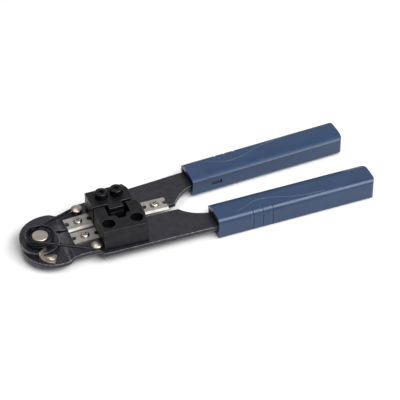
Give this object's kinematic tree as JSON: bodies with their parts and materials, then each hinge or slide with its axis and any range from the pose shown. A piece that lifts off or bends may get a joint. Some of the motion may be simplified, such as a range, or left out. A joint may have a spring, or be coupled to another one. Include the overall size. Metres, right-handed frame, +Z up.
{
  "type": "modular plug crimping tool",
  "caption": "Pliers-style crimping tool for modular plugs: joggled black levers, spring, lock latch, nest and punch blocks, cutter and stripper blades, blue grips.",
  "frame": {"origin": "middle of the tool's outline, on the surface that it lies on", "axes": "+X from the round pivot head towards the ends of the grips, +Y towards the rear lever, +Z up from the surface, along the pivot"},
  "size_m": [0.1971, 0.0586, 0.0247],
  "materials": {
    "lever_steel": "satin black oxide on pressed steel",
    "block_steel": "matt black oxide on machined steel",
    "black_screw": "satin black oxide",
    "spring_steel": "satin black oxide on spring wire",
    "bright_rivet": "nickel plate, satin",
    "blade_steel": "ground steel",
    "nickel_screw": "nickel plate, satin",
    "grip_plastic": "fine moulded texture, low gloss"
  },
  "bodies": {
    "front": {"front_lever": "lever_steel", "front_spring_post": "bright_rivet", "front_grip": "grip_plastic", "pivot_rivet": "bright_rivet", "spring_hub": "block_steel", "tail_washer": "block_steel", "torsion_spring": "spring_steel", "latch_rivet": "bright_rivet", "nest_block": "block_steel", "nest_screw_left": "black_screw", "nest_screw_right": "black_screw", "front_stripper_blade": "blade_steel", "front_stripper_screw": "nickel_screw"},
    "rear": {"rear_lever": "lever_steel", "rear_spring_post": "bright_rivet", "rear_grip": "grip_plastic", "punch_block": "block_steel", "contact_comb": "blade_steel", "strain_punch": "blade_steel", "punch_screw_left": "black_screw", "punch_screw_right": "black_screw", "rear_stripper_blade": "blade_steel", "rear_stripper_screw": "nickel_screw", "cutter_blade": "blade_steel", "cutter_screw": "nickel_screw"},
    "latch": {"lock_latch": "bright_rivet"}
  },
  "joints": [
    {"name": "lever_pivot", "type": "hinge", "parent": "front", "child": "rear", "pos_m": [-0.08806, 0, 0.0065], "axis": [0, 0, 1], "range_deg": [-1.3, 26], "stiffness_Nm_per_rad": 0.5, "springref_deg": 31.51, "deforming": ["torsion_spring"]},
    {"name": "latch_pivot", "type": "hinge", "parent": "front", "child": "latch", "pos_m": [-0.08648, -0.01334, 0.007], "axis": [0, 0, 1], "range_deg": [0, 25]}
  ]
}
